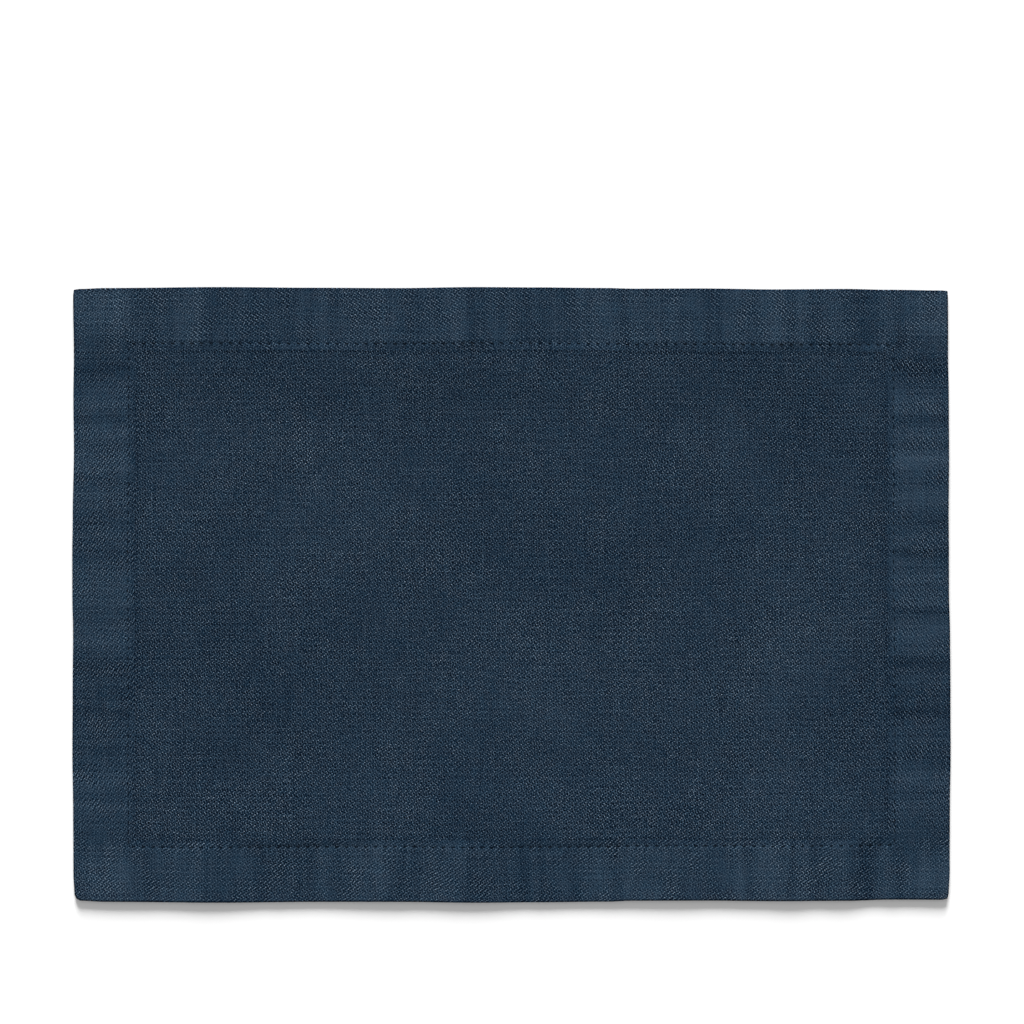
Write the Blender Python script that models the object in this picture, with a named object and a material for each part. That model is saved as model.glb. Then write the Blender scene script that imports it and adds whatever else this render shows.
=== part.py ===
"""A woven table mat, 508 x 356 mm (20 x 14 inches), lying flat with its right side up.

It is one piece of cloth. A double hem, 36 mm wide, is turned to the back all round and held by
one row of stitches, so the border is about twice as thick as the panel inside it. The long side
runs along X, the right side faces +Z, and the origin is under the middle of the mat.
"""

from collections import namedtuple
from math import cos, hypot, pi, sqrt

import bmesh
import bpy

MM = 0.001

# Driving sizes, in metres
WIDTH = 0.508
DEPTH = 0.3556
CLOTH = 0.0011  # one layer of the cloth
HEM_THICK = 0.0023  # the hem's layers, pressed together
HEM_WIDTH = 0.036  # from the folded edge to the hem's inner fold
SEAM_INSET = 0.0322  # from the folded edge to the row of stitches
SEAM_REACH = 0.0016  # how far to each side the stitches pull the cloth down
SEAM_DIP = 0.0005
FOLD_REACH = 0.0012  # how far in the folded edge is rounded
EDGE_WALL = 0.0005  # what stays upright of the folded edge
STEP_REACH = 0.0024  # how far in the face falls from the hem to the panel
PANEL_LIFT = 0.0007  # how high the hem's inner fold holds the panel off the table
SAG_REACH = 0.026  # how far in the panel has come down to the table
CLOSEST_LINES = 0.0035  # no two lines of the mesh inside the border lie nearer than this
SHARE_AFTER_STEP = 0.72  # of the whole fall to the panel, what is left after that step

COLOUR = (0.0185, 0.0345, 0.056, 1.0)
ROUGHNESS = 0.9

# How far each folded edge lies outside its straight line, in millimetres
Outline = namedtuple("Outline", "along first second")
LONG_EDGES = (  # along X; first is the far edge, at +Y, and second the near edge
    Outline(-250, -0.45, -0.40),
    Outline(-236, 0.10, 0.20),
    Outline(-167, 0.65, 0.70),
    Outline(-113, 0.30, 0.25),
    Outline(-68, 0.05, 0.20),
    Outline(-20, 0.65, 0.70),
    Outline(14, 0.50, 0.50),
    Outline(55, 0.15, 0.15),
    Outline(71, -0.25, -0.45),
    Outline(112, -0.15, -0.50),
    Outline(153, -0.70, -0.20),
    Outline(195, -0.45, -0.40),
    Outline(222, -0.90, -1.10),
    Outline(250, -1.30, -1.00),
)
SHORT_EDGES = (  # along Y; first is the right edge, at +X, and second the left edge
    Outline(-173, -0.30, -0.70),
    Outline(-161, 0.30, -0.10),
    Outline(-127, 0.35, 0.00),
    Outline(-92, 0.85, 0.50),
    Outline(-57, 0.70, 0.30),
    Outline(-22, 0.40, 0.00),
    Outline(1, -0.20, 0.45),
    Outline(24, -0.20, 0.50),
    Outline(47, -0.40, 0.20),
    Outline(82, -0.10, -0.45),
    Outline(117, -0.25, -0.10),
    Outline(140, -0.65, -0.40),
    Outline(175, -0.75, 0.05),
)
CORNER_ROUND = {  # radius of each corner, by the signs of its X and Y
    (-1, 1): 0.0016,
    (1, 1): 0.0010,
    (-1, -1): 0.0042,
    (1, -1): 0.0026,
}

# Crests and troughs of the soft ripples that cross the hem, in millimetres
Ripple = namedtuple("Ripple", "along first second")
LONG_RIPPLES = (  # along X, in the far hem and in the near hem
    Ripple(-254, 0.00, 0.00),
    Ripple(-218, 0.16, 0.16),
    Ripple(-205, 0.02, 0.02),
    Ripple(-178, 0.30, 0.30),
    Ripple(-142, -0.22, -0.22),
    Ripple(-136, -0.12, -0.12),
    Ripple(-130, -0.20, -0.20),
    Ripple(-113, -0.26, -0.26),
    Ripple(-66, 0.20, 0.20),
    Ripple(-53, 0.05, 0.05),
    Ripple(-24, 0.30, 0.30),
    Ripple(10, -0.22, -0.22),
    Ripple(15, -0.12, -0.12),
    Ripple(38, -0.26, -0.26),
    Ripple(95, 0.22, 0.22),
    Ripple(120, 0.02, 0.02),
    Ripple(144, 0.14, 0.14),
    Ripple(162, 0.46, 0.46),
    Ripple(178, 0.12, 0.12),
    Ripple(191, 0.34, 0.34),
    Ripple(211, -0.30, -0.30),
    Ripple(221, -0.02, -0.02),
    Ripple(227, -0.16, -0.16),
    Ripple(254, 0.05, 0.05),
)
SHORT_RIPPLES = (  # along Y, in the right hem and in the left hem
    Ripple(-178, 0.00, 0.00),
    Ripple(-172, 0.04, 0.04),
    Ripple(-149, -0.28, -0.20),
    Ripple(-127, 0.02, 0.02),
    Ripple(-101, -0.30, -0.30),
    Ripple(-70, -0.22, -0.14),
    Ripple(-64, 0.00, 0.00),
    Ripple(-52, 0.10, 0.10),
    Ripple(-43, 0.12, 0.20),
    Ripple(-35, 0.42, 0.40),
    Ripple(-14, 0.22, 0.30),
    Ripple(-9, 0.40, 0.38),
    Ripple(22, 0.16, 0.28),
    Ripple(28, 0.38, 0.28),
    Ripple(37, 0.30, 0.30),
    Ripple(47, 0.42, 0.42),
    Ripple(69, 0.38, 0.38),
    Ripple(86, 0.06, 0.06),
    Ripple(90, 0.10, 0.10),
    Ripple(99, -0.06, -0.06),
    Ripple(106, 0.04, 0.04),
    Ripple(129, -0.30, -0.30),
    Ripple(155, 0.14, 0.16),
    Ripple(178, 0.00, 0.00),
)


def eased(share):
    """A share from 0 to 1 with a soft start and end."""
    share = min(max(share, 0.0), 1.0)
    return 0.5 - 0.5 * cos(pi * share)


def read(table, along):
    """Both values of a table at a place along the edge, eased from row to row, in metres."""
    place = min(max(along / MM, table[0].along), table[-1].along)
    for low, high in zip(table, table[1:]):
        if place <= high.along:
            break
    share = eased((place - low.along) / (high.along - low.along))
    return tuple(
        (low[value] + share * (high[value] - low[value])) * MM for value in (1, 2)
    )


def grid_lines(half, *tables):
    """Where the mesh has a line: at each change of the border's section and each table row."""
    insets = (
        0.0,
        0.3 * FOLD_REACH,
        FOLD_REACH,
        SEAM_INSET - SEAM_REACH,
        SEAM_INSET,
        SEAM_INSET + SEAM_REACH,
        HEM_WIDTH,
        HEM_WIDTH + STEP_REACH,
        HEM_WIDTH + 0.4 * SAG_REACH,
        HEM_WIDTH + SAG_REACH,
    )
    lines = [side * (half - inset) for inset in insets for side in (-1, 1)]
    for table in tables:
        for row in table:
            place = row.along * MM
            if all(abs(place - line) > CLOSEST_LINES for line in lines):
                lines.append(place)
    return sorted(lines)


def hem_share(inset):
    """1 over the hem, falling to 0 between the stitches and the hem's inner fold."""
    return 1.0 - eased((inset - SEAM_INSET + SEAM_REACH) / (HEM_WIDTH - SEAM_INSET + SEAM_REACH))


def ripple(x, y):
    """Height of the hem's ripples over its plain thickness."""
    far, near = read(LONG_RIPPLES, x)
    right, left = read(SHORT_RIPPLES, y)
    across = (far if y > 0 else near) * hem_share(DEPTH / 2 - abs(y))
    along = (right if x > 0 else left) * hem_share(WIDTH / 2 - abs(x))
    return across + along


def edge_inset(x, y):
    return min(WIDTH / 2 - abs(x), DEPTH / 2 - abs(y))


def fold_drop(inset):
    """How far the rounded fold lies in from the cloth's two faces, near its edge."""
    if inset >= FOLD_REACH:
        return 0.0
    depth = (HEM_THICK - EDGE_WALL) / 2
    return depth * (1.0 - sqrt(1.0 - (1.0 - inset / FOLD_REACH) ** 2))


def panel_lift(inset):
    """How high the panel's underside hangs over the table beside the hem."""
    if inset <= HEM_WIDTH:
        return 0.0
    rise = eased((inset - HEM_WIDTH) / STEP_REACH)
    sag = eased((inset - HEM_WIDTH - STEP_REACH) / (SAG_REACH - STEP_REACH))
    return PANEL_LIFT * rise * (1.0 - sag)


def back_height(x, y):
    inset = edge_inset(x, y)
    return fold_drop(inset) + panel_lift(inset)


def face_height(x, y):
    inset = edge_inset(x, y)
    dip = SEAM_DIP * (1.0 - eased(abs(inset - SEAM_INSET) / SEAM_REACH))
    if inset <= HEM_WIDTH:
        return HEM_THICK + ripple(x, y) - fold_drop(inset) - dip
    fall = HEM_THICK - CLOTH
    step = eased((inset - HEM_WIDTH) / STEP_REACH)
    sag = eased((inset - HEM_WIDTH - STEP_REACH) / (SAG_REACH - STEP_REACH))
    share = (1.0 - (1.0 - SHARE_AFTER_STEP) * step) * (1.0 - sag)
    return CLOTH + fall * share


def rounded_corner(x, y):
    """The place of a grid point after the mat's corners are rounded."""
    sides = (1 if x > 0 else -1, 1 if y > 0 else -1)
    radius = CORNER_ROUND[sides]
    over_x = abs(x) - (WIDTH / 2 - radius)
    over_y = abs(y) - (DEPTH / 2 - radius)
    if over_x <= 0 or over_y <= 0:
        return x, y
    pull = max(over_x, over_y) / hypot(over_x, over_y)
    return (
        sides[0] * (WIDTH / 2 - radius + over_x * pull),
        sides[1] * (DEPTH / 2 - radius + over_y * pull),
    )


def outlined(x, y):
    """The place of a grid point once the edges have their uneven outline."""
    far, near = read(LONG_EDGES, x)
    right, left = read(SHORT_EDGES, y)
    out_x = right if x > 0 else -left
    out_y = far if y > 0 else -near
    round_x, round_y = rounded_corner(x, y)
    return (
        round_x + out_x * abs(x) / (WIDTH / 2),
        round_y + out_y * abs(y) / (DEPTH / 2),
    )


def cloth_mesh():
    """The cloth as a closed mesh: a grid for its back, and the same grid raised for its face."""
    columns = grid_lines(WIDTH / 2, LONG_RIPPLES, LONG_EDGES)
    rows = grid_lines(DEPTH / 2, SHORT_RIPPLES, SHORT_EDGES)
    mesh = bmesh.new()
    bmesh.ops.create_grid(
        mesh, x_segments=len(columns) - 1, y_segments=len(rows) - 1, size=0.5
    )
    back = list(mesh.verts)
    raised = bmesh.ops.extrude_face_region(mesh, geom=list(mesh.faces))["geom"]
    face = [item for item in raised if isinstance(item, bmesh.types.BMVert)]
    for skin, height in ((back, back_height), (face, face_height)):
        for vert in skin:
            x = columns[round((vert.co.x + 0.5) * (len(columns) - 1))]
            y = rows[round((vert.co.y + 0.5) * (len(rows) - 1))]
            vert.co = (*outlined(x, y), height(x, y))
    bmesh.ops.recalc_face_normals(mesh, faces=list(mesh.faces))
    centre(mesh)
    data = bpy.data.meshes.new("placemat")
    mesh.to_mesh(data)
    mesh.free()
    return data


def centre(mesh):
    """Puts the origin under the middle of the mat's box."""
    for axis in (0, 1):
        places = [vert.co[axis] for vert in mesh.verts]
        middle = (min(places) + max(places)) / 2
        for vert in mesh.verts:
            vert.co[axis] -= middle


def cloth_material():
    material = bpy.data.materials.new("dark blue cloth")
    material.diffuse_color = COLOUR
    material.use_nodes = True
    shader = material.node_tree.nodes["Principled BSDF"]
    shader.inputs["Base Color"].default_value = COLOUR
    shader.inputs["Roughness"].default_value = ROUGHNESS
    return material


def main():
    for thing in list(bpy.data.objects):
        bpy.data.objects.remove(thing, do_unlink=True)
    collection = bpy.data.collections.new("fabric placemat")
    bpy.context.scene.collection.children.link(collection)
    placemat = bpy.data.objects.new("placemat", cloth_mesh())
    placemat.data.materials.append(cloth_material())
    placemat.data.shade_smooth()
    placemat.data.set_sharp_from_angle(angle=pi / 4)
    collection.objects.link(placemat)


main()
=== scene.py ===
"""The looks of a woven cloth table mat that lies flat: its folded cloth, broken-twill weave,
stitches, light and camera. Sizes are in metres unless a comment says otherwise."""

from collections import namedtuple
from math import copysign, cos, hypot, pi, radians, sin

import bmesh
import bpy
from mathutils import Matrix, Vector, noise


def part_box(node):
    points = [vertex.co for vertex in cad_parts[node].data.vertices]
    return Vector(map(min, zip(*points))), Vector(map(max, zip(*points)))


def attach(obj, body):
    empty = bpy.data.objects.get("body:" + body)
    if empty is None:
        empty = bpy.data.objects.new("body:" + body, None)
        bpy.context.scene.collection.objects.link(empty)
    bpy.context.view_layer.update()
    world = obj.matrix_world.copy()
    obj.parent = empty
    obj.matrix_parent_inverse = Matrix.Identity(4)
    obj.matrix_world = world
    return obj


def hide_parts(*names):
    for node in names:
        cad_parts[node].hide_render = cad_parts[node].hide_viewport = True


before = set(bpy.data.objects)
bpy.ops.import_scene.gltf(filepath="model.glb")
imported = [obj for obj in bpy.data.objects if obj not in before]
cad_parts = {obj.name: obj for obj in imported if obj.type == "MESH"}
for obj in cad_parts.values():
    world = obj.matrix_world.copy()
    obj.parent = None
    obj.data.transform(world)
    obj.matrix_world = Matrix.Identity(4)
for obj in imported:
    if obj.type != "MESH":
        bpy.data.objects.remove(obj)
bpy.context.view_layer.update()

MM = 0.001
NODE = "placemat"

# The mat's plan, repeated from the solid
WIDTH = 0.508
DEPTH = 0.3556
HEM_WIDTH = 0.036  # from the folded edge to the hem's inner fold
SEAM_INSET = 0.0322  # from the folded edge to the row of stitches
SEAM_REACH = 0.0016  # how far to each side the stitches pull the cloth down
STEP_REACH = 0.0024  # how far in the face falls from the hem towards the panel

# The cloth as it is really folded
CLOTH = 0.00072  # thickness of one layer
LAYERS_APART = 0.00076  # between the middles of two layers of the hem
FOLD_OUT = 0.00055  # how far the outer fold bulges past the flat layers
FOLD_IN = 0.0005  # and how far the inner one does
HEM_REST = 0.0003  # height of the hem's underside over the table where there is no ripple
HEM_LOWEST = 0.00002  # and under the deepest ripples
PANEL_REST = 0.0010  # height of the panel's underside over the table
SHARE_AFTER_STEP = 0.93  # of the whole fall to the panel, what is left after the step
SAG_END = 0.046  # how far inside the hem's fold the cloth has come down to the panel's level
SEAM_DIP = 0.00005  # how far the seam pulls the face down
STITCH_DIP = 0.00008  # and how much further under a stitch
BACK_DIP = 0.00030  # how far the seam pulls the lowest layer up
UNEVEN = 0.00005  # soft unevenness of the whole cloth
UNEVEN_SIZE = 0.035  # length of its waves
UNEVEN_FINER = 2.3  # how much shorter its second waves are, which are half as high

# The stitches: one on every second line of the mesh
STITCHES_LONG = 79
STITCHES_SHORT = 52
LINES_PER_STITCH = 2

# Tables of what changes along the border, with a row for each place in millimetres: along X for
# the two long sides, and along Y for the two short ones
LongSides = namedtuple("LongSides", "along far near")
ShortSides = namedtuple("ShortSides", "along right left")

# How far each edge lies outside its straight line, in millimetres
LONG_EDGES = (
    LongSides(-250, -0.45, -0.40),
    LongSides(-236, 0.10, 0.20),
    LongSides(-167, 0.65, 0.70),
    LongSides(-113, 0.30, 0.25),
    LongSides(-68, 0.05, 0.20),
    LongSides(-20, 0.65, 0.70),
    LongSides(14, 0.50, 0.50),
    LongSides(55, 0.15, 0.15),
    LongSides(71, -0.25, -0.45),
    LongSides(112, -0.15, -0.50),
    LongSides(153, -0.70, -0.20),
    LongSides(195, -0.45, -0.40),
    LongSides(222, -0.90, -1.10),
    LongSides(250, -1.30, -1.00),
)
SHORT_EDGES = (
    ShortSides(-173, -0.30, -0.70),
    ShortSides(-161, 0.30, -0.10),
    ShortSides(-127, 0.35, 0.00),
    ShortSides(-92, 0.85, 0.50),
    ShortSides(-57, 0.70, 0.30),
    ShortSides(-22, 0.40, 0.00),
    ShortSides(1, -0.20, 0.45),
    ShortSides(24, -0.20, 0.50),
    ShortSides(47, -0.40, 0.20),
    ShortSides(82, -0.10, -0.45),
    ShortSides(117, -0.25, -0.10),
    ShortSides(140, -0.65, -0.40),
    ShortSides(175, -0.75, 0.05),
)
CORNER_ROUND = {  # radius of each corner, by the signs of its X and Y
    (-1, 1): 0.0016,
    (1, 1): 0.0010,
    (-1, -1): 0.0042,
    (1, -1): 0.0026,
}

# Crests and troughs of the soft ripples that cross the hem, in millimetres
LONG_RIPPLES = (
    LongSides(-254, 0.00, 0.00),
    LongSides(-218, 0.16, 0.16),
    LongSides(-205, 0.02, 0.02),
    LongSides(-178, 0.30, 0.30),
    LongSides(-142, -0.22, -0.22),
    LongSides(-136, -0.12, -0.12),
    LongSides(-130, -0.20, -0.20),
    LongSides(-113, -0.26, -0.26),
    LongSides(-66, 0.20, 0.20),
    LongSides(-53, 0.05, 0.05),
    LongSides(-24, 0.30, 0.30),
    LongSides(10, -0.22, -0.22),
    LongSides(15, -0.12, -0.12),
    LongSides(38, -0.26, -0.26),
    LongSides(95, 0.22, 0.22),
    LongSides(120, 0.02, 0.02),
    LongSides(144, 0.14, 0.14),
    LongSides(162, 0.46, 0.46),
    LongSides(178, 0.12, 0.12),
    LongSides(191, 0.34, 0.34),
    LongSides(211, -0.30, -0.30),
    LongSides(221, -0.02, -0.02),
    LongSides(227, -0.16, -0.16),
    LongSides(254, 0.05, 0.05),
)
SHORT_RIPPLES = (
    ShortSides(-178, 0.00, 0.00),
    ShortSides(-172, 0.04, 0.04),
    ShortSides(-149, -0.28, -0.20),
    ShortSides(-127, 0.02, 0.02),
    ShortSides(-101, -0.30, -0.30),
    ShortSides(-70, -0.22, -0.14),
    ShortSides(-64, 0.00, 0.00),
    ShortSides(-52, 0.10, 0.10),
    ShortSides(-43, 0.12, 0.20),
    ShortSides(-35, 0.42, 0.40),
    ShortSides(-14, 0.22, 0.30),
    ShortSides(-9, 0.40, 0.38),
    ShortSides(22, 0.16, 0.28),
    ShortSides(28, 0.38, 0.28),
    ShortSides(37, 0.30, 0.30),
    ShortSides(47, 0.42, 0.42),
    ShortSides(69, 0.38, 0.38),
    ShortSides(86, 0.06, 0.06),
    ShortSides(90, 0.10, 0.10),
    ShortSides(99, -0.06, -0.06),
    ShortSides(106, 0.04, 0.04),
    ShortSides(129, -0.30, -0.30),
    ShortSides(155, 0.14, 0.16),
    ShortSides(178, 0.00, 0.00),
)


# ---------------------------------------------------------------- the mat's form


def eased(share):
    """A share from 0 to 1 with a soft start and end."""
    share = min(max(share, 0.0), 1.0)
    return 0.5 - 0.5 * cos(pi * share)


def read(table, along, unit=MM):
    """Both sides' values of a table at a place along them, eased from row to row."""
    place = min(max(along / MM, table[0].along), table[-1].along)
    for low, high in zip(table, table[1:]):
        if place <= high.along:
            break
    share = eased((place - low.along) / (high.along - low.along))
    return tuple((low[value] + share * (high[value] - low[value])) * unit for value in (1, 2))


def hem_share(inset):
    """1 over the hem, falling to 0 between the stitches and the hem's inner fold."""
    start = SEAM_INSET - SEAM_REACH
    return 1.0 - eased((inset - start) / (HEM_WIDTH - start))


def at_border(long_table, short_table, x, y, unit=MM):
    """The value of two border tables at a point, each fading out where its own hem ends."""
    far, near = read(long_table, x, unit)
    right, left = read(short_table, y, unit)
    across = (far if y > 0 else near) * hem_share(DEPTH / 2 - abs(y))
    along = (right if x > 0 else left) * hem_share(WIDTH / 2 - abs(x))
    return across + along


def rounded_corner(x, y):
    """The place of a plan point once the corners are rounded."""
    sides = (1 if x > 0 else -1, 1 if y > 0 else -1)
    radius = CORNER_ROUND[sides]
    over_x = abs(x) - (WIDTH / 2 - radius)
    over_y = abs(y) - (DEPTH / 2 - radius)
    if over_x <= 0 or over_y <= 0:
        return x, y
    pull = max(over_x, over_y) / hypot(over_x, over_y)
    return (
        sides[0] * (WIDTH / 2 - radius + over_x * pull),
        sides[1] * (DEPTH / 2 - radius + over_y * pull),
    )


def outlined(x, y):
    """The place of a plan point once the corners are rounded and the edges are uneven."""
    far, near = read(LONG_EDGES, x)
    right, left = read(SHORT_EDGES, y)
    out_x = right if x > 0 else -left
    out_y = far if y > 0 else -near
    round_x, round_y = rounded_corner(x, y)
    return (
        round_x + out_x * abs(x) / (WIDTH / 2),
        round_y + out_y * abs(y) / (DEPTH / 2),
    )


def unevenness(x, y):
    place = Vector((x, y, 0.0)) / UNEVEN_SIZE
    finer = place * UNEVEN_FINER + Vector((7, 3, 0))
    return UNEVEN * (noise.noise(place) + 0.5 * noise.noise(finer))


def border_inset(x, y):
    """How far a plan point lies inside the folded edge."""
    return min(WIDTH / 2 - abs(x), DEPTH / 2 - abs(y))


def near_seam(x, y):
    """1 on the row of stitches, falling to 0 to each side."""
    return 1.0 - eased(abs(border_inset(x, y) - SEAM_INSET) / SEAM_REACH)


def hem_level(x, y):
    """Height of the middle of the hem's lowest layer, away from the seam."""
    lifted = HEM_REST + at_border(LONG_RIPPLES, SHORT_RIPPLES, x, y)
    return CLOTH / 2 + max(lifted, HEM_LOWEST)


def back_middle(x, y):
    """Height of the middle of the hem's lowest layer, with the seam."""
    return hem_level(x, y) + BACK_DIP * near_seam(x, y)


def seam_dip(x, y, under_stitch):
    """How far the seam pulls the face down; under_stitch is 1 at a stitch and 0 between two."""
    return near_seam(x, y) * (SEAM_DIP + STITCH_DIP * under_stitch)


def face_middle(x, y, under_stitch=0.0):
    """Height of the middle of the layer that shows from above."""
    inset = border_inset(x, y)
    hem = hem_level(x, y) + 2 * LAYERS_APART
    panel = CLOTH / 2 + PANEL_REST
    if inset <= HEM_WIDTH:
        return hem - seam_dip(x, y, under_stitch) + unevenness(x, y)
    step = eased((inset - HEM_WIDTH) / STEP_REACH)
    sag = eased((inset - HEM_WIDTH - STEP_REACH) / (SAG_END - STEP_REACH))
    share = (1.0 - (1.0 - SHARE_AFTER_STEP) * step) * (1.0 - sag)
    return panel + (hem - panel) * share + abs(unevenness(x, y))


# ---------------------------------------------------------------- the cloth's mesh

# A station is one line round the mat. Its run is measured along the cloth from the outer fold,
# and is positive once the cloth is turned to the back. Its inset is measured in plan, and its
# level is 0 on the lowest layer and 1 on the face.
Station = namedtuple("Station", "run inset level")

FACE_INSETS_MM = (
    37.6, 36.8, 36.2, 35.4, 34.5, 33.7, 33.1, 32.6, 32.2, 31.8, 31.3, 30.7,
    30.0, 28.5, 26.0, 23.0, 20.0, 17.0, 14.0, 11.0, 8.0, 5.5, 3.6, 2.2, 1.4,
)
BACK_INSETS_MM = (1.4, 2.6, 5.0, 10.0, 16.0, 22.0, 26.5, 30.0, 31.2, 32.2, 33.2, 34.4)
TURNING_INSETS_MM = (34.4, 31.0, 27.5)
PANEL_INSET = HEM_WIDTH + STEP_REACH
ON_SIDE = 1.0 - 1e-6  # share of a half side from which a point counts as lying on that side
FOLD_STEPS = 7
TURN_LEVEL = 0.5  # of the turning, between the other two layers


def stations():
    """The lines round the mat from the panel out to the fold, and back in under the hem."""
    found = [Station(-inset * MM, inset * MM, 1.0) for inset in FACE_INSETS_MM]
    for step in range(FOLD_STEPS + 1):
        turn = pi * step / FOLD_STEPS
        found.append(Station(
            (step / FOLD_STEPS - 0.5) * 2 * FOLD_OUT,
            CLOTH / 2 + FOLD_OUT * (1.0 - sin(turn)),
            0.5 + 0.5 * cos(turn),
        ))
    found += [Station(inset * MM, inset * MM, 0.0) for inset in BACK_INSETS_MM]
    for step in range(FOLD_STEPS + 1):
        turn = pi * step / FOLD_STEPS
        found.append(Station(
            HEM_WIDTH - FOLD_IN + FOLD_IN * step / FOLD_STEPS,
            HEM_WIDTH - FOLD_IN + FOLD_IN * sin(turn),
            TURN_LEVEL * (0.5 - 0.5 * cos(turn)),
        ))
    found += [
        Station(2 * HEM_WIDTH - inset * MM, inset * MM, TURN_LEVEL)
        for inset in TURNING_INSETS_MM
    ]
    return found


def under_stitch_at(u, v):
    """1 on a mesh line that has a stitch on the face, 0 on the line between two of them."""
    on_long_side = abs(v) > abs(u)
    lines = (STITCHES_LONG if on_long_side else STITCHES_SHORT) * LINES_PER_STITCH
    place = u if on_long_side else v
    line = round((place + 1) / 2 * lines)
    return float(line % LINES_PER_STITCH == 1)


def plan(u, v, inset):
    """The plan point at shares u and v of the half sides, on the line at that inset."""
    return u * (WIDTH / 2 - inset), v * (DEPTH / 2 - inset)


def station_point(u, v, station):
    x, y = plan(u, v, station.inset)
    back = back_middle(x, y)
    face = face_middle(x, y, under_stitch_at(u, v))
    return Vector((*outlined(x, y), back + station.level * (face - back)))


def cloth_place(u, v, side_is_long, station):
    """Where a point of a hem lies on the flat cloth, before any folding."""
    x, y = plan(u, v, station.inset)
    if side_is_long:
        return Vector((x, v * (DEPTH / 2 + station.run), 0.0))
    return Vector((u * (WIDTH / 2 + station.run), y, 0.0))


def add_panel(mesh, shares, inset_layer):
    """The cloth inside the hem, as a grid with a line at each stitch and between stitches. Each
    point's shares of the half sides are noted, because the hem's lines are worked out from them."""
    columns = STITCHES_LONG * LINES_PER_STITCH
    rows = STITCHES_SHORT * LINES_PER_STITCH
    bmesh.ops.create_grid(mesh, x_segments=columns, y_segments=rows, size=1.0)
    for vert in mesh.verts:
        u, v = vert.co.x, vert.co.y
        x, y = plan(u, v, PANEL_INSET)
        shares[vert] = (u, v)
        vert[inset_layer] = border_inset(x, y)
        vert.co = Vector((*outlined(x, y), face_middle(x, y)))


def add_hem(mesh, shares, inset_layer, cloth):
    """Carries the panel's rim outward, round the fold and under, one station at a time."""
    for face in mesh.faces:
        for loop in face.loops:
            loop[cloth] = Vector((*plan(*shares[loop.vert], PANEL_INSET), 0.0))
    last = Station(-PANEL_INSET, PANEL_INSET, 1.0)
    rim = [edge for edge in mesh.edges if edge.is_boundary]
    for station in stations():
        made = bmesh.ops.extrude_edge_only(mesh, edges=rim)["geom"]
        outer = {item for item in made if isinstance(item, bmesh.types.BMVert)}
        for vert in outer:
            beside = (edge.other_vert(vert) for edge in vert.link_edges)
            shares[vert] = shares[next(other for other in beside if other not in outer)]
        for face in (item for item in made if isinstance(item, bmesh.types.BMFace)):
            side_is_long = all(abs(shares[vert][1]) > ON_SIDE for vert in face.verts)
            for loop in face.loops:
                at = station if loop.vert in outer else last
                loop[cloth] = cloth_place(*shares[loop.vert], side_is_long, at)
        for vert in outer:
            vert.co = station_point(*shares[vert], station)
            vert[inset_layer] = station.inset
        rim = [item for item in made if isinstance(item, bmesh.types.BMEdge)
               and all(vert in outer for vert in item.verts)]
        last = station


# Painted light and shade of the ripples that cross the hem: how many levels lighter the hem is
# coloured, in soft bands across it
LONG_RIPPLE_SHADES = (
    LongSides(-254, 0, 0),
    LongSides(-230, 4, 4),
    LongSides(-221, 0, 0),
    LongSides(-206, -3, -3),
    LongSides(-200, 2, 2),
    LongSides(-186, 4, 4),
    LongSides(-180, 4, 4),
    LongSides(-176, -5, -5),
    LongSides(-160, -2, -2),
    LongSides(-150, -3, -3),
    LongSides(-144, -8, -8),
    LongSides(-139, -1, -1),
    LongSides(-133, -6, -6),
    LongSides(-128, -1, -1),
    LongSides(-115, -5, -5),
    LongSides(-110, 3, 3),
    LongSides(-100, 0, 0),
    LongSides(-77, 6, 6),
    LongSides(-69, 1, 1),
    LongSides(-60, -1, -1),
    LongSides(-54, -3, -3),
    LongSides(-50, 2, 2),
    LongSides(-41, 0, 0),
    LongSides(-34, 5, 5),
    LongSides(-28, 4, 4),
    LongSides(-24, -5, -5),
    LongSides(-10, -2, -2),
    LongSides(2, -3, -3),
    LongSides(8, -8, -8),
    LongSides(13, -1, -1),
    LongSides(19, -6, -6),
    LongSides(24, -1, -1),
    LongSides(37, -5, -5),
    LongSides(41, 2, 2),
    LongSides(54, 4, 4),
    LongSides(64, 0, 0),
    LongSides(74, 5, 5),
    LongSides(90, 3, 3),
    LongSides(104, 0, 0),
    LongSides(119, -4, -4),
    LongSides(131, 5, 5),
    LongSides(140, 1, 1),
    LongSides(150, 8, 8),
    LongSides(157, 9, 9),
    LongSides(162, 0, 0),
    LongSides(169, 6, 6),
    LongSides(176, -4, -4),
    LongSides(187, 5, 5),
    LongSides(200, -5, -5),
    LongSides(207, -14, -14),
    LongSides(212, 0, 0),
    LongSides(217, 4, 4),
    LongSides(225, -6, -6),
    LongSides(231, 1, 1),
    LongSides(248, 5, 4),
)
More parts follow.
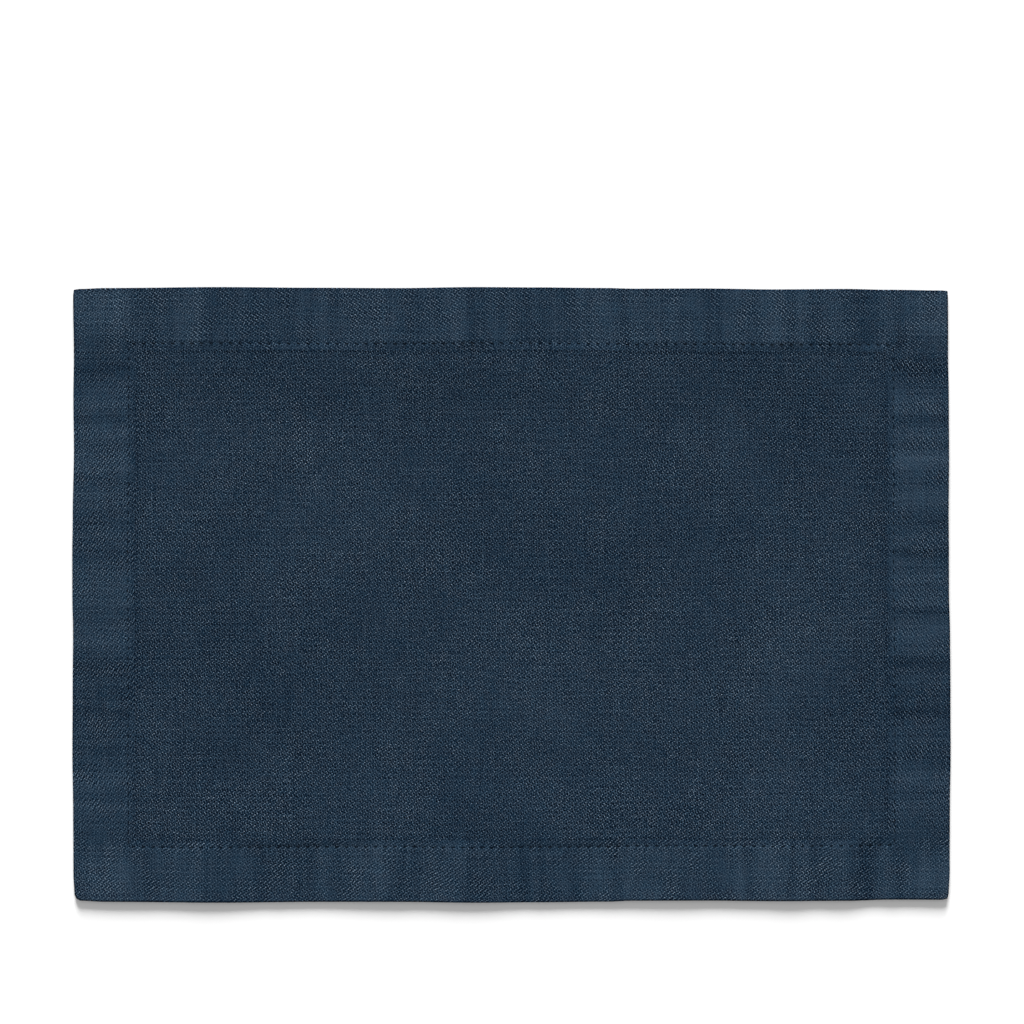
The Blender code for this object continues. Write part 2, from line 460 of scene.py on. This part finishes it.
# The same painted light and shade of the ripples, for the short hems
SHORT_RIPPLE_SHADES = (
    ShortSides(-178, 0, 0),
    ShortSides(-170, 3, 4),
    ShortSides(-156, 1, 3),
    ShortSides(-147, -5, -3),
    ShortSides(-137, -2, -2),
    ShortSides(-124, 3, 3),
    ShortSides(-116, -1, -1),
    ShortSides(-108, 5, 5),
    ShortSides(-103, 2, 2),
    ShortSides(-99, -4, -4),
    ShortSides(-84, -2, -2),
    ShortSides(-74, -3, -3),
    ShortSides(-68, -13, -9),
    ShortSides(-63, -1, -1),
    ShortSides(-56, -8, -8),
    ShortSides(-51, 0, 0),
    ShortSides(-43, -5, -4),
    ShortSides(-39, -12, -6),
    ShortSides(-35, 1, 2),
    ShortSides(-22, 4, 4),
    ShortSides(-14, 0, 1),
    ShortSides(-10, -6, 0),
    ShortSides(-5, 5, 5),
    ShortSides(13, 3, 4),
    ShortSides(20, 0, 0),
    ShortSides(25, -7, -1),
    ShortSides(31, 4, 0),
    ShortSides(44, -4, -3),
    ShortSides(55, 5, 4),
    ShortSides(65, 0, 0),
    ShortSides(78, 10, 10),
    ShortSides(86, 0, 0),
    ShortSides(94, 6, 6),
    ShortSides(102, -3, -3),
    ShortSides(110, 5, 5),
    ShortSides(119, -2, -2),
    ShortSides(126, -7, -7),
    ShortSides(131, -13, -12),
    ShortSides(136, -3, -3),
    ShortSides(140, 0, -1),
    ShortSides(147, -6, -3),
    ShortSides(154, 3, 3),
    ShortSides(163, 1, 5),
    ShortSides(172, 3, 6),
    ShortSides(178, 0, 0),
)


def centre_of(verts, axis):
    """The middle of the mesh's box along an axis."""
    places = [vert.co[axis] for vert in verts]
    return (min(places) + max(places)) / 2


def make_cloth():
    """The folded sheet. Its layers hold each point's place on the flat cloth, how far it lies
    inside the folded edge, and the painted light and shade of the hem's ripples there, and the
    material reads all three."""
    mesh = bmesh.new()
    cloth = mesh.loops.layers.float_vector.new("cloth")
    inset_layer = mesh.verts.layers.float.new("inset")
    painted_shading_layer = mesh.verts.layers.float.new("ripple_shade")
    shares = {}
    add_panel(mesh, shares, inset_layer)
    add_hem(mesh, shares, inset_layer, cloth)
    for vert in mesh.verts:
        # The painted light and shade of the hem's ripples at each point
        vert[painted_shading_layer] = at_border(LONG_RIPPLE_SHADES, SHORT_RIPPLE_SHADES, vert.co.x, vert.co.y, 1.0)
    bmesh.ops.recalc_face_normals(mesh, faces=list(mesh.faces))
    data = bpy.data.meshes.new("mat_cloth")
    mesh.to_mesh(data)
    mesh.free()
    piece = bpy.data.objects.new("mat_cloth", data)
    bpy.context.scene.collection.objects.link(piece)
    thickness = piece.modifiers.new("thickness", "SOLIDIFY")
    thickness.thickness = CLOTH
    thickness.offset = 0.0
    data.shade_smooth()
    return piece


# ---------------------------------------------------------------- materials

# Noise is given by its scale, which is how many of its cells lie on a metre, or on a yarn where
# that is said. The third coordinate of a noise's place only sets it apart from the other noises.
Layer = namedtuple("Layer", "scale strength")

# The weave is a four-end broken twill, counted in warp ends across X and in picks along Y
END_PITCH = 0.000727  # between two ends
PICK_PITCH = 0.00082  # between two picks
REPEAT = 4
DRIFT = (Layer(14.0, 0.0027), Layer(90.0, 0.00060))  # how far the yarns wander, in metres
PAIRING = -0.17  # how far the ends draw together in pairs, in ends
LEAN = -0.09  # how far every second pick lies to one side, in ends
LEAN_STRAY = 0.32  # how much the leaning varies, in ends and in picks
END_LEAN_SCALE = 110.0
PICK_LEAN_SCALE = 0.08  # to a yarn

# Each crossing of an end and a pick is a cell. Two soft spots go with a cell whose end comes up:
# the crown of the yarn, which stands up and carries a painted highlight, and the gap beside it,
# which sinks and carries a painted shadow. Their sizes are in cells.
SPOT_STRAY = 0.11  # how far a spot may lie off its place
SPOT_UNEVEN = 0.10  # how much its strength may vary
CROWN_SPREAD = (0.34, 0.45)
CROWN_FLOATS = (0.29, 0.17)  # see rise
HOLE_SPREAD = (0.24, 0.30)
HOLE_FLOATS = (0.06, 0.18)
HOLE_FROM_CROWN = (0.49, -1.08)
ROUND_TOP = 2.0  # powers of a yarn's dome
FLAT_TOP = 4.0

# Lightness is on the scale that the eye sees, from 0 to 1
CLOTH_LIGHTNESS = 0.1855
# The painted highlight on each yarn's crown, and the painted shadow in the gap beside it
CROWN_PAINTED_HIGHLIGHT = 0.275
HOLE_PAINTED_SHADOW = 0.345
CELL_UNEVEN = 0.06  # between one cell and the next
GRAIN_UNEVEN = 0.36  # of the fibres
GRAIN_SCALE = 1600.0
GROOVE_PAINTED_SHADE = 0.062  # painted shade in the groove between two yarns
YARN_UNEVEN = 0.035  # between one yarn and the next
YARN_STEP = 0.77  # cells of noise from one yarn to the next
YARN_CHANGE = 0.02  # and along a yarn, for each yarn that it crosses
CLOUD_SCALE = 9.0
CLOUD = 0.060  # wide soft light and dark places on the panel
HEM_CLOUD = 0.014  # and on the hems
HUE_SCALE = 0.16  # to a yarn
RICH_DETAIL = 4.0  # of the noise for clouds and hue
RICH_ROUGHNESS = 0.65

# How clearly the weave shows
CONTRAST = 1.155
CONTRAST_LAYERS = (Layer(20.0, 0.50), Layer(70.0, 0.30))
PATCH_CONTRAST = 0.5  # how much more in the hems' patches
HEM_CALMER = 0.30  # how much less on the hems as a whole
WEAVE_MEAN = 0.06  # how much lighter the weave makes the cloth for each unit of contrast

# Noise drawn out across the hems; stretch is its scale across a hem, as a share of that along it
Stretched = namedtuple("Stretched", "scale stretch apart")
STREAKS = Stretched(210.0, 0.07, 2.0)
PATCHES = Stretched(80.0, 0.5, 8.0)

STREAK_UNEVEN = 0.030
STROKE = 0.042  # strength of the hems' slanted strokes
STROKE_EVERYWHERE = 0.5  # share of it that shows all over the hems
STROKE_IN_PATCHES = 2.3  # and what the patches add or take away
STROKE_BREAKS = 0.8  # how clearly each stroke ends before the next
STROKE_STRAY = 2.0  # how far the strokes wander, in radians
STROKE_STRAY_SCALE = 260.0
RIPPLE_SHADE_LEVEL = 0.0036  # lightness of one level of the tables of painted ripple light and shade
HEM_LIGHTER = 0.0112
SHORT_HEM_LIGHTER = -0.003
FOLD_PAINTED_SHADE = 0.026  # painted shade along the hem's inner fold, where the face steps down to the panel
FOLD_REACH = 0.0036
FOLD_SHADE_INSET = HEM_WIDTH - 0.0002
FAR_FOLD_OUT = 0.0012  # how much nearer to the edge this shade lies in the far hem
FAR_FOLD_WEAKER = 0.4  # and how much weaker it is there
RIM_REACH = 0.0012  # of the painted shade that makes a dark line along the outer fold

Hems = namedtuple("Hems", "far near left right")
# Painted shade along the outer fold of each hem, deepest on the far one, where the low sun lights
# the fold
RIM_PAINTED_SHADES = Hems(far=-0.15, near=-0.03, left=-0.03, right=-0.07)

# From lightness to colour, in the order red, green, blue
CHANNEL_STEPS = (-0.0742, 0.0, 0.069)  # how far each lies over the cloth's lightness
HUE_TURNS = (0.026, -0.006, -0.018)  # how far a turn of the hue moves each
DARKEST = 0.02
EYE_POWER = 2.4
EYE_FOOT = 0.055
LIGHT_GAIN = 1.26  # how bright a white surface is in the studio's light

CROWN_HEIGHT = 0.00010  # for the bump, in metres
YARN_HEIGHT = 0.00006
HOLE_DEPTH = 0.00006
GRAIN_HEIGHT = 0.00002
WEAVE_BUMP = 0.7
ROUGHNESS = 0.9
CROWN_SMOOTHER = 0.12
SPECULAR = 0.02
SHEEN_TINT = (0.45, 0.62, 0.85, 1)

THREAD_COLOUR = (0.0016, 0.0036, 0.0075)
FIBRE_SCALE = 2600.0
FIBRE_UNEVEN = 0.5
FIBRE_HEIGHT = 0.00004
FIBRE_BUMP = 0.5


class Graph:
    """A material whose nodes are made by plain calls. Values may be numbers or node outputs."""

    def __init__(self, name):
        self.material = bpy.data.materials.new(name)
        self.material.use_nodes = True
        self.tree = self.material.node_tree
        self.shader = self.tree.nodes["Principled BSDF"]

    def node(self, kind, inputs=(), **settings):
        made = self.tree.nodes.new(kind)
        for name, value in settings.items():
            setattr(made, name, value)
        for name, value in dict(inputs).items():
            self.connect(value, made.inputs[name])
        return made

    def connect(self, value, socket):
        if isinstance(value, bpy.types.NodeSocket):
            self.tree.links.new(value, socket)
        else:
            socket.default_value = value

    def shade(self, inputs):
        """Gives the shader its inputs, and returns the finished material."""
        for name, value in inputs.items():
            self.connect(value, self.shader.inputs[name])
        return self.material

    def math(self, operation, *values):
        made = self.node("ShaderNodeMath", operation=operation)
        for value, socket in zip(values, made.inputs):
            self.connect(value, socket)
        return made.outputs[0]

    def add(self, *values):
        total = values[0]
        for value in values[1:]:
            total = self.math("ADD", total, value)
        return total

    def times(self, *values):
        total = values[0]
        for value in values[1:]:
            total = self.math("MULTIPLY", total, value)
        return total

    def less(self, first, second):
        return self.math("SUBTRACT", first, second)

    def line(self, value, slope, start):
        return self.math("MULTIPLY_ADD", value, slope, start)

    def attribute(self, name, output="Fac"):
        return self.node("ShaderNodeAttribute", attribute_name=name).outputs[output]

    def vector(self, x, y, z=0.0):
        made = self.node("ShaderNodeCombineXYZ", {"X": x, "Y": y, "Z": z})
        return made.outputs[0]

    def parts(self, vector):
        made = self.node("ShaderNodeSeparateXYZ", {"Vector": vector})
        return made.outputs["X"], made.outputs["Y"], made.outputs["Z"]

    def scaled(self, colour, share):
        made = self.node("ShaderNodeVectorMath", operation="SCALE")
        self.connect(colour, made.inputs[0])
        self.connect(share, made.inputs["Scale"])
        return made.outputs[0]

    def noise(self, vector, scale, detail=1.0, roughness=0.5):
        """Noise from about -1 to 1, mostly from -0.4 to 0.4."""
        made = self.node("ShaderNodeTexNoise", {
            "Vector": vector, "Scale": scale, "Detail": detail, "Roughness": roughness,
        })
        return self.line(made.outputs["Fac"], 2.0, -1.0)

    def layered(self, vector, layers):
        """The sum of several noises, each with its own scale and strength."""
        return self.add(*(
            self.times(self.noise(vector, layer.scale), layer.strength) for layer in layers
        ))

    def bell(self, value, centre, reach):
        """1 where value is centre, falling to 0 at reach from it."""
        away = self.math("ABSOLUTE", self.less(value, centre))
        made = self.node("ShaderNodeMapRange", {
            "Value": away, "From Min": 0.0, "From Max": reach, "To Min": 1.0, "To Max": 0.0,
        }, interpolation_type="SMOOTHSTEP")
        return made.outputs[0]


def hem_masks(graph, place):
    """1 on each hem and 0 elsewhere; the long hems reach into the corners."""
    x, y, _ = graph.parts(place)
    panel_x = WIDTH / 2 - HEM_WIDTH
    panel_y = DEPTH / 2 - HEM_WIDTH
    far = graph.math("GREATER_THAN", y, panel_y)
    near = graph.math("LESS_THAN", y, -panel_y)
    between = graph.less(1.0, graph.add(far, near))
    left = graph.times(graph.math("LESS_THAN", x, -panel_x), between)
    right = graph.times(graph.math("GREATER_THAN", x, panel_x), between)
    return Hems(far, near, left, right)


def cloth_coordinates(graph, place, hems):
    """The place on the flat cloth, counted in warp ends across X and in picks towards -Y. The
    ends are counted backwards on the far and the left hem, where the twill shows mirrored."""
    x, y, _ = graph.parts(place)
    mirror = graph.line(graph.add(hems.far, hems.left), -2.0, 1.0)
    drift_x = graph.layered(place, DRIFT)
    drift_y = graph.layered(graph.vector(y, x, 3.7), DRIFT)
    ends = graph.times(graph.add(x, drift_x), mirror, 1.0 / END_PITCH)
    picks = graph.times(graph.add(y, drift_y), -1.0 / PICK_PITCH)
    return ends, picks


def leaning(graph, place, ends, picks):
    """The yarns out of their even places: ends in pairs, and every second yarn to one side."""
    by_yarn = graph.vector(ends, picks, 4.1)
    stray_x = graph.times(graph.noise(place, END_LEAN_SCALE), LEAN_STRAY)
    stray_y = graph.times(graph.noise(by_yarn, PICK_LEAN_SCALE), LEAN_STRAY)
    by_end = graph.math("SINE", graph.times(ends, pi))
    by_pick = graph.math("SINE", graph.times(picks, pi))
    leaning_ends = graph.add(
        ends,
        graph.times(by_end, PAIRING),
        graph.times(by_pick, graph.add(LEAN, stray_x)),
    )
    return leaning_ends, graph.add(picks, graph.times(by_end, stray_y))


def rise(graph, end, pick, floats):
    """How high the face stands in a cell: 1 where the warp end comes up over the pick, and less,
    by the two shares in floats, beside the middle and in the middle of the picks' own floats.

    In a repeat of four ends, the end comes up over picks 0, 1, 3 and 2, one each."""
    in_repeat = graph.math("FLOORED_MODULO", end, float(REPEAT))
    second_half = graph.math("GREATER_THAN", in_repeat, 1.5)
    swap = graph.times(second_half, graph.line(in_repeat, -2.0, 5.0))
    comes_up_over = graph.add(in_repeat, swap)
    phase = graph.math("FLOORED_MODULO", graph.less(pick, comes_up_over), float(REPEAT))
    is_middle_end = graph.math("COMPARE", in_repeat, 1.5, 0.75)
    beside = graph.line(is_middle_end, -2.0, 3.0)
    return graph.add(
        graph.math("LESS_THAN", phase, 0.5),
        graph.times(graph.math("COMPARE", phase, beside, 0.5), floats[0]),
        graph.times(graph.math("COMPARE", phase, 2.0, 0.5), floats[1]),
    )


def in_cell(graph, count):
    """The number of a yarn, and the place across it from -0.5 to 0.5."""
    number = graph.math("FLOOR", count)
    return number, graph.less(graph.less(count, number), 0.5)


def dome(graph, across, power):
    """1 on a yarn's middle line and 0 at its sides; a high power makes it flat on top."""
    side = graph.math("POWER", graph.math("ABSOLUTE", graph.times(across, 2.0)), power)
    return graph.less(1.0, side)


def spots(graph, ends, picks, spread, floats, seed):
    """A soft spot on each cell that stands up, a little off its place and of its own strength."""
    end, across = in_cell(graph, ends)
    pick, along = in_cell(graph, picks)
    random = graph.node("ShaderNodeTexWhiteNoise", {"Vector": graph.vector(end, pick, seed)})
    strength, move_x, move_y = graph.parts(random.outputs["Color"])
    off_x = graph.add(across, graph.line(move_x, SPOT_STRAY, -SPOT_STRAY / 2))
    off_y = graph.add(along, graph.line(move_y, SPOT_STRAY, -SPOT_STRAY / 2))
    away = graph.add(
        graph.times(off_x, off_x, -0.5 / spread[0] ** 2),
        graph.times(off_y, off_y, -0.5 / spread[1] ** 2),
    )
    return graph.times(
        rise(graph, end, pick, floats),
        graph.math("EXPONENT", away),
        graph.line(strength, 2 * SPOT_UNEVEN, 1.0 - SPOT_UNEVEN),
        dome(graph, across, FLAT_TOP),
        dome(graph, along, FLAT_TOP),
    )


def weave_tone(graph, place, ends, picks):
    """The weave's light and dark round 0, from its yarns' own tones and from painted highlights and
    shade, its height, and the crowns of its yarns.
    """
    crown = spots(graph, ends, picks, CROWN_SPREAD, CROWN_FLOATS, seed=1.0)
    hole_ends = graph.add(ends, HOLE_FROM_CROWN[0])
    hole_picks = graph.add(picks, HOLE_FROM_CROWN[1])
    hole = spots(graph, hole_ends, hole_picks, HOLE_SPREAD, HOLE_FLOATS, seed=21.0)
    end, across = in_cell(graph, ends)
    pick, along = in_cell(graph, picks)
    yarn = graph.times(dome(graph, across, ROUND_TOP), dome(graph, along, ROUND_TOP))
    tops = graph.add(dome(graph, across, FLAT_TOP), dome(graph, along, FLAT_TOP))
    groove = graph.less(2.0, tops)
    random = graph.node("ShaderNodeTexWhiteNoise", {"Vector": graph.vector(end, pick, 7.0)})
    cell = graph.times(graph.line(random.outputs["Value"], 2.0, -1.0), yarn)
    grain = graph.noise(place, GRAIN_SCALE)
    # The crowns carry a painted highlight, the gaps beside them a painted shadow, and the grooves
    # painted shade
    tone = graph.add(
        graph.times(crown, CROWN_PAINTED_HIGHLIGHT),
        graph.times(hole, -HOLE_PAINTED_SHADOW),
        graph.times(cell, CELL_UNEVEN),
        graph.times(grain, GRAIN_UNEVEN),
        graph.times(groove, -GROOVE_PAINTED_SHADE),
    )
    height = graph.add(
        graph.times(crown, CROWN_HEIGHT),
        graph.times(yarn, YARN_HEIGHT),
        graph.times(hole, -HOLE_DEPTH),
        graph.times(grain, GRAIN_HEIGHT),
    )
    return tone, height, crown


def yarn_tone(graph, ends, picks):
    """Each yarn is a little lighter or darker than the next, and changes along its length."""
    end = graph.math("FLOOR", ends)
    pick = graph.math("FLOOR", picks)
    by_end = graph.vector(graph.times(end, YARN_STEP), graph.times(picks, YARN_CHANGE))
    by_pick = graph.vector(graph.times(ends, YARN_CHANGE), graph.times(pick, YARN_STEP), 5.0)
    return graph.add(graph.noise(by_end, 1.0), graph.noise(by_pick, 1.0))


def hem_noises(graph, place, on_long, on_short):
    """Noise drawn out across each hem, and 0 on the panel: fine streaks, and wider patches."""
    x, y, _ = graph.parts(place)
    along = graph.add(graph.times(x, on_long), graph.times(y, on_short))
    across = graph.add(graph.times(y, on_long), graph.times(x, on_short))
    on_hem = graph.add(on_long, on_short)
    found = []
    for form in (STREAKS, PATCHES):
        stretched = graph.vector(along, graph.times(across, form.stretch), form.apart)
        found.append(graph.times(graph.noise(stretched, form.scale), on_hem))
    return found


def hem_strokes(graph, place, ends, picks, on_long, on_short):
    """The slanted strokes that the twill draws in the hems, round 0: shallow ones on the long hems
    and steep ones on the short hems. Both are waves in step with the weave's repeat."""
    stray = graph.times(graph.noise(place, STROKE_STRAY_SCALE), STROKE_STRAY)
    u = graph.add(graph.times(ends, 2 * pi / REPEAT), stray)
    v = graph.times(picks, 2 * pi / REPEAT)
    shallow = graph.less(
        graph.math("SINE", graph.add(u, v, v)),
        graph.times(graph.math("COSINE", graph.add(u, v)), STROKE_BREAKS),
    )
    steep = graph.less(
        graph.times(graph.math("COSINE", graph.less(v, u)), STROKE_BREAKS),
        graph.math("SINE", graph.less(v, graph.add(u, u))),
    )
    return graph.add(graph.times(shallow, on_long), graph.times(steep, on_short))


def painted_fold_shades(graph, hems):
    """The painted shade along the hem's inner fold, and the painted shade that makes a dark line
    along the outer one.
    """
    inset = graph.attribute("inset")
    shade_inset = graph.line(hems.far, -FAR_FOLD_OUT, FOLD_SHADE_INSET)
    shade = graph.bell(inset, shade_inset, FOLD_REACH)
    shade_tone = graph.times(graph.line(hems.far, FAR_FOLD_WEAKER, -1.0), FOLD_PAINTED_SHADE)
    rim = graph.bell(inset, CLOTH / 2, RIM_REACH)
    rim_painted_shade = graph.add(*(graph.times(mask, tone) for mask, tone in zip(hems, RIM_PAINTED_SHADES)))
    return graph.add(graph.times(shade, shade_tone), graph.times(rim, rim_painted_shade))


def dyed(graph, lightness, hue):
    """The dark blue cloth's colour at a lightness; hue turns it a little, from -1 to 1."""
    channels = []
    for step, turn in zip(CHANNEL_STEPS, HUE_TURNS):
        value = graph.add(lightness, step + EYE_FOOT, graph.times(hue, turn))
        value = graph.math("MAXIMUM", graph.times(value, 1.0 / (1.0 + EYE_FOOT)), DARKEST)
        channels.append(graph.times(graph.math("POWER", value, EYE_POWER), 1.0 / LIGHT_GAIN))
    return graph.vector(*channels)


def cloth_material():
    graph = Graph("woven_cloth")
    place = graph.attribute("cloth", "Vector")
    hems = hem_masks(graph, place)
    on_long = graph.add(hems.far, hems.near)
    on_short = graph.add(hems.left, hems.right)
    on_hem = graph.add(on_long, on_short)
    even_ends, even_picks = cloth_coordinates(graph, place, hems)
    ends, picks = leaning(graph, place, even_ends, even_picks)
    weave, height, crown = weave_tone(graph, place, ends, picks)
    streak, patch = hem_noises(graph, place, on_long, on_short)
    strokes = hem_strokes(graph, place, even_ends, even_picks, on_long, on_short)
    patchy = graph.line(patch, STROKE_IN_PATCHES, STROKE_EVERYWHERE)
    stroke_strength = graph.math("MAXIMUM", patchy, 0.0)
    cloud = graph.noise(place, CLOUD_SCALE, RICH_DETAIL, RICH_ROUGHNESS)
    by_yarn = graph.vector(picks, ends, 9.0)
    hue = graph.noise(by_yarn, HUE_SCALE, RICH_DETAIL, RICH_ROUGHNESS)

    # Some places show the weave more clearly than others
    contrast = graph.add(
        CONTRAST,
        graph.layered(place, CONTRAST_LAYERS),
        graph.times(patch, PATCH_CONTRAST),
        graph.times(on_hem, -HEM_CALMER),
    )
    lightness = graph.add(
        CLOTH_LIGHTNESS,
        graph.times(weave, contrast),
        graph.times(graph.less(contrast, CONTRAST), -WEAVE_MEAN),
        graph.times(yarn_tone(graph, ends, picks), YARN_UNEVEN),
        graph.times(cloud, graph.line(on_hem, HEM_CLOUD - CLOUD, CLOUD)),
        # painted light and shade of the hem's ripples
        graph.times(graph.attribute("ripple_shade"), RIPPLE_SHADE_LEVEL),
        graph.times(streak, STREAK_UNEVEN),
        graph.times(strokes, stroke_strength, STROKE),
        graph.times(on_hem, HEM_LIGHTER),
        graph.times(on_short, SHORT_HEM_LIGHTER),
        # The painted shade along the inner and the outer folds
        painted_fold_shades(graph, hems),
    )
    bump = graph.node("ShaderNodeBump", {
        "Height": height, "Strength": WEAVE_BUMP, "Distance": 1.0,
    })
    return graph.shade({
        "Base Color": dyed(graph, lightness, hue),
        "Normal": bump.outputs["Normal"],
        "Roughness": graph.line(crown, -CROWN_SMOOTHER, ROUGHNESS),
        "Specular IOR Level": SPECULAR,
        "Sheen Weight": 0.02,
        "Sheen Roughness": 0.35,
        "Sheen Tint": SHEEN_TINT,
    })


def thread_material():
    graph = Graph("sewing_thread")
    place = graph.node("ShaderNodeTexCoord").outputs["Object"]
    fibre = graph.noise(place, FIBRE_SCALE, 2.0)
    tone = graph.add(1.0, graph.times(fibre, FIBRE_UNEVEN))
    bump = graph.node("ShaderNodeBump", {
        "Height": fibre, "Strength": FIBRE_BUMP, "Distance": FIBRE_HEIGHT,
    })
    return graph.shade({
        "Base Color": graph.scaled(THREAD_COLOUR, tone),
        "Normal": bump.outputs["Normal"],
        "Roughness": 0.7,
        "Specular IOR Level": SPECULAR,
        "Sheen Weight": 0.01,
        "Sheen Tint": SHEEN_TINT,
    })


# ---------------------------------------------------------------- the stitches

PLY_RADIUS = 0.00014
PLY_APART = 0.00012  # from the stitch's middle line to the middle of a ply
PLY_TURN = 0.0013  # length of one turn of the two plies
STITCH_LENGTH = 0.0027  # of thread that shows
STITCH_POINTS = 11
STITCH_SLANT = 0.16  # how far the stitches turn away from the seam's line
STITCH_STRAY = 0.00012  # how far they lie to one side of it, at most
STITCH_SINK = 0.00050  # how deep a stitch's ends go in
STITCH_PULL = 0.0001  # how much deeper the tightest stitches lie
STITCH_RISE = CLOTH / 2 + 0.9 * PLY_RADIUS  # from the middle of the cloth to a stitch's middle
BACK_STITCH_IN = 0.25 * CLOTH  # how much less that is on the back


def stitch_places():
    """The middle of each stitch: its place, whether it lies along a long side, and whether it
    shows on the face. On the back they lie between those of the face."""
    half_x = WIDTH / 2 - SEAM_INSET
    half_y = DEPTH / 2 - SEAM_INSET
    for side in (-1, 1):
        for line in range(STITCHES_LONG * LINES_PER_STITCH):
            share = line / (STITCHES_LONG * LINES_PER_STITCH) * 2 - 1
            yield (share * half_x, side * half_y), True, line % LINES_PER_STITCH == 1
        for line in range(1, STITCHES_SHORT * LINES_PER_STITCH):
            share = line / (STITCHES_SHORT * LINES_PER_STITCH) * 2 - 1
            yield (side * half_x, share * half_y), False, line % LINES_PER_STITCH == 1


def stitch_path(x, y, is_long, on_face, shift, pulled_in):
    """The middle line of a stitch, from where it comes out of the cloth to where it goes in."""
    points = []
    for step in range(STITCH_POINTS):
        share = step / (STITCH_POINTS - 1) * 2 - 1
        along = share * STITCH_LENGTH / 2
        across = shift - STITCH_SLANT * along * copysign(1.0, y if is_long else x)
        at_x = x + (along if is_long else across)
        at_y = y + (across if is_long else along)
        rise = STITCH_RISE - pulled_in - STITCH_SINK * share ** 4
        if on_face:
            height = face_middle(x, y, 1.0) + rise
        else:
            height = back_middle(x, y) - rise + BACK_STITCH_IN
        points.append(Vector((*outlined(at_x, at_y), height)))
    return points


def add_ply(curve, points, turn):
    """One of the two plies, wound round the stitch's middle line."""
    ahead = (points[-1] - points[0]).normalized()
    side = ahead.cross(Vector((0, 0, 1))).normalized()
    spline = curve.splines.new("POLY")
    spline.points.add(len(points) - 1)
    for point, middle in zip(spline.points, points):
        angle = turn + 2 * pi * (middle - points[0]).length / PLY_TURN
        away = side * cos(angle) + Vector((0, 0, 1)) * sin(angle)
        point.co = (*(middle + away * PLY_APART), 1.0)


def make_stitches(name, on_face):
    """All the stitches of one side as one piece, each a little off its place and depth."""
    curve = bpy.data.curves.new(name, "CURVE")
    curve.dimensions = "3D"
    curve.bevel_depth = PLY_RADIUS
    curve.bevel_resolution = 1
    curve.use_fill_caps = True
    for number, ((x, y), is_long, shows_on_face) in enumerate(stitch_places()):
        if shows_on_face != on_face:
            continue
        shift = STITCH_STRAY * noise.noise(Vector((number * 0.73, 1.5, 0.0)))
        pulled_in = STITCH_PULL * abs(noise.noise(Vector((number * 0.19, 4.0, 0.0))))
        points = stitch_path(x, y, is_long, on_face, shift, pulled_in)
        for turn in (0.0, pi):
            add_ply(curve, points, turn + number)
    piece = bpy.data.objects.new(name, curve)
    bpy.context.scene.collection.objects.link(piece)
    return piece


# ---------------------------------------------------------------- light and camera

PIXELS = 1024  # of the picture's width and height
MAT_WIDE_PIXELS = 876.8  # from the mat's left edge to its right one
MAT_CENTRE_PIXEL = (511.2, 594.9)
LENS = 100.0
SENSOR = 36.0

SUN_HEIGHT = radians(14.2)
SUN_TURN = radians(2.0)  # from straight ahead towards the left
SUN_ANGLE = radians(26.0)
SUN_STRENGTH = 10.1
SKY_STRENGTH = 0.455
FLOOR_SIZE = 8.0


def make_floor():
    bpy.ops.mesh.primitive_plane_add(size=FLOOR_SIZE, location=(0.0, 0.0, 0.0))
    floor_piece = bpy.context.object
    floor_piece.name = "floor"
    floor_piece.data.materials.append(Graph("pale_floor").shade({
        "Base Color": (0.92, 0.92, 0.92, 1),
        "Roughness": 0.9,
        "Specular IOR Level": 0.1,
    }))


def make_light():
    """An even white sky, and a soft sun low over the far side."""
    world = bpy.data.worlds.new("studio")
    bpy.context.scene.world = world
    world.use_nodes = True
    background = world.node_tree.nodes["Background"]
    background.inputs["Color"].default_value = (1.0, 1.0, 1.0, 1)
    background.inputs["Strength"].default_value = SKY_STRENGTH
    sun = bpy.data.lights.new("key", "SUN")
    sun.energy = SUN_STRENGTH
    sun.angle = SUN_ANGLE
    holder = bpy.data.objects.new("key", sun)
    towards = Vector((
        -cos(SUN_HEIGHT) * sin(SUN_TURN), cos(SUN_HEIGHT) * cos(SUN_TURN), sin(SUN_HEIGHT)
    ))
    holder.rotation_euler = towards.to_track_quat("Z", "Y").to_euler()
    bpy.context.scene.collection.objects.link(holder)
    bpy.context.scene.view_settings.view_transform = "Standard"


def make_camera(centre):
    """Straight above the mat, which lies low in the picture."""
    per_pixel = WIDTH / MAT_WIDE_PIXELS
    camera = bpy.data.cameras.new("camera")
    camera.lens = LENS
    camera.sensor_width = SENSOR
    camera.clip_start = 0.01
    holder = bpy.data.objects.new("camera", camera)
    middle = PIXELS / 2
    holder.location = (
        centre.x + (middle - MAT_CENTRE_PIXEL[0]) * per_pixel,
        centre.y + (MAT_CENTRE_PIXEL[1] - middle) * per_pixel,
        centre.z + PIXELS * per_pixel * LENS / SENSOR,
    )
    bpy.context.scene.collection.objects.link(holder)
    bpy.context.scene.camera = holder


# ---------------------------------------------------------------- the scene


def main():
    """Makes each piece round the origin, and then moves it so that it covers the solid."""
    low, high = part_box(NODE)
    cloth = make_cloth()
    stitches = [make_stitches("face_stitches", True), make_stitches("back_stitches", False)]
    verts = cloth.data.vertices
    shift = Vector((
        (low.x + high.x) / 2 - centre_of(verts, 0),
        (low.y + high.y) / 2 - centre_of(verts, 1),
        0.0,
    ))
    for piece in (cloth, *stitches):
        piece.location = shift
    cloth.data.materials.append(cloth_material())
    thread = thread_material()
    for piece in stitches:
        piece.data.materials.append(thread)
    for piece in (cloth, *stitches):
        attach(piece, "root")
    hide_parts(NODE)
    make_floor()
    make_light()
    make_camera(Vector((shift.x, shift.y, high.z)))


main()
